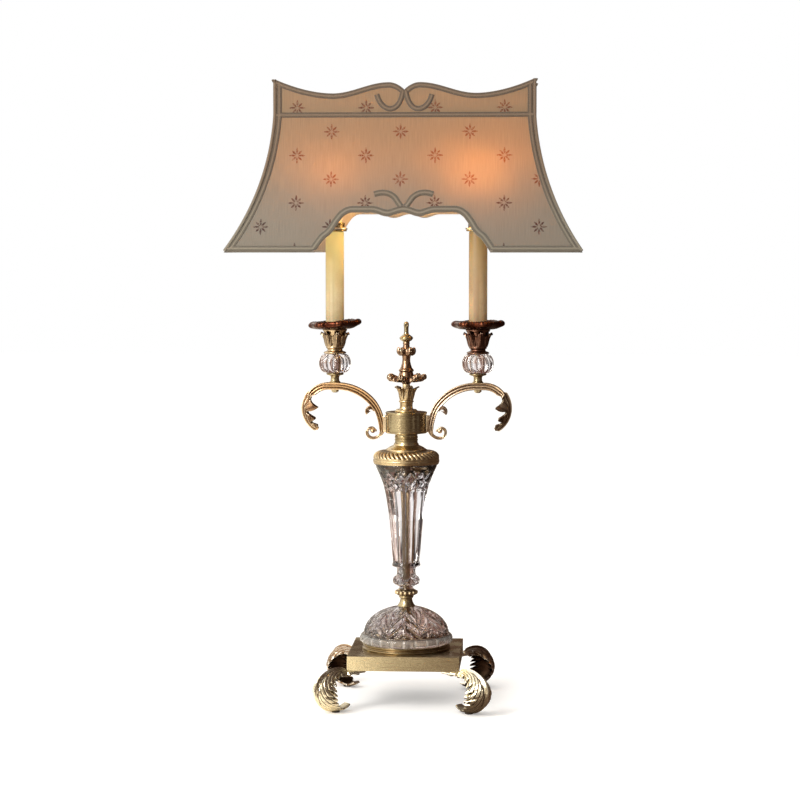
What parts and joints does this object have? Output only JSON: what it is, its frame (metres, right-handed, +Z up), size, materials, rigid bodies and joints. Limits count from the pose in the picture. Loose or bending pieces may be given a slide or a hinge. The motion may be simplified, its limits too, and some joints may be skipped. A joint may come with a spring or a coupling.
{
  "type": "bouillotte lamp",
  "caption": "Table lamp with a square brass base on leaf feet, cut glass dome and column, scroll arms with candle lights, and a flared silk shade with arches front and back.",
  "frame": {"origin": "centre of the footprint on the surface that the felt pads stand on", "axes": "+Z up along the stem, +X along the arms to the right hand candle, -Y towards the front"},
  "size_m": [0.4262, 0.2182, 0.7569],
  "materials": {
    "plate_brass": "antique, satin",
    "cast_brass": "antique, dark in the hollows",
    "turned_brass": "antique, satin",
    "dark_bronze": "reddish brown patina",
    "crystal": "clear cut lead crystal",
    "steel": "plain",
    "rod_brass": "plain",
    "ballast": "rough",
    "felt": "brown felt",
    "ivory": "ivory candle cover",
    "phenolic": "dark moulded",
    "lead_cover": "gold insulation",
    "bulb_glass": "frosted warm white, lit, emissive",
    "bulb_base": "plain cap",
    "silk": "woven silk with small printed stars",
    "braid": "ribbed braid, olive grey",
    "frame_wire": "plain wire"
  },
  "bodies": {
    "lamp": {"base_pan": "plate_brass", "base_weight": "ballast", "cord_bushing": "phenolic", "foot_front_left": "cast_brass", "foot_front_right": "cast_brass", "foot_back_left": "cast_brass", "foot_back_right": "cast_brass", "foot_screws": "steel", "foot_pads": "felt", "rod_washer": "steel", "rod_nut": "steel", "center_rod": "rod_brass", "dome_seat_ring": "turned_brass", "dome_gasket": "felt", "glass_dome": "crystal", "lower_neck": "turned_brass", "beaded_collar": "turned_brass", "glass_column": "crystal", "vase_cap": "cast_brass", "upper_neck": "turned_brass", "arm_drum": "turned_brass", "drum_lid": "turned_brass", "switch_body": "phenolic", "switch_nut": "turned_brass", "finial_leaf_cup": "cast_brass", "finial_dish": "dark_bronze", "finial_baluster": "dark_bronze", "finial_knob": "turned_brass", "arm_left": "dark_bronze", "arm_right": "dark_bronze", "arm_screws": "steel", "arm_leads": "lead_cover", "candle_nipples": "rod_brass", "nozzle_nuts": "turned_brass", "nozzle_left": "turned_brass", "nozzle_right": "turned_brass", "glass_ball_left": "crystal", "glass_ball_right": "crystal", "candle_cup_left": "dark_bronze", "candle_cup_right": "dark_bronze", "bobeche_left": "dark_bronze", "bobeche_right": "dark_bronze", "candle_sleeve_left": "ivory", "candle_sleeve_right": "ivory", "socket_left": "phenolic", "socket_right": "phenolic", "candle_collar_left": "turned_brass", "candle_collar_right": "turned_brass"},
    "shade": {"shade_front": "silk", "shade_back": "silk", "shade_side_left": "silk", "shade_side_right": "silk", "shade_trim": "braid", "shade_frame": "frame_wire"},
    "bulb_left": {"bulb_glass_left": "bulb_glass", "bulb_base_left": "bulb_base"},
    "bulb_right": {"bulb_glass_right": "bulb_glass", "bulb_base_right": "bulb_base"},
    "switch": {"switch_knob": "turned_brass"}
  },
  "joints": [
    {"name": "shade_lift", "type": "slide", "parent": "lamp", "child": "shade", "axis": [0, 0, 1], "range_m": [0, 0.1]},
    {"name": "bulb_left_turn", "type": "hinge", "parent": "lamp", "child": "bulb_left", "pos_m": [-0.0873, 0, 0.567], "axis": [0, 0, 1], "continuous": true},
    {"name": "bulb_right_turn", "type": "hinge", "parent": "lamp", "child": "bulb_right", "pos_m": [0.0873, 0, 0.567], "axis": [0, 0, 1], "continuous": true},
    {"name": "switch_turn", "type": "hinge", "parent": "lamp", "child": "switch", "pos_m": [0, 0.03, 0.3415], "axis": [0, 1, 0], "continuous": true}
  ]
}
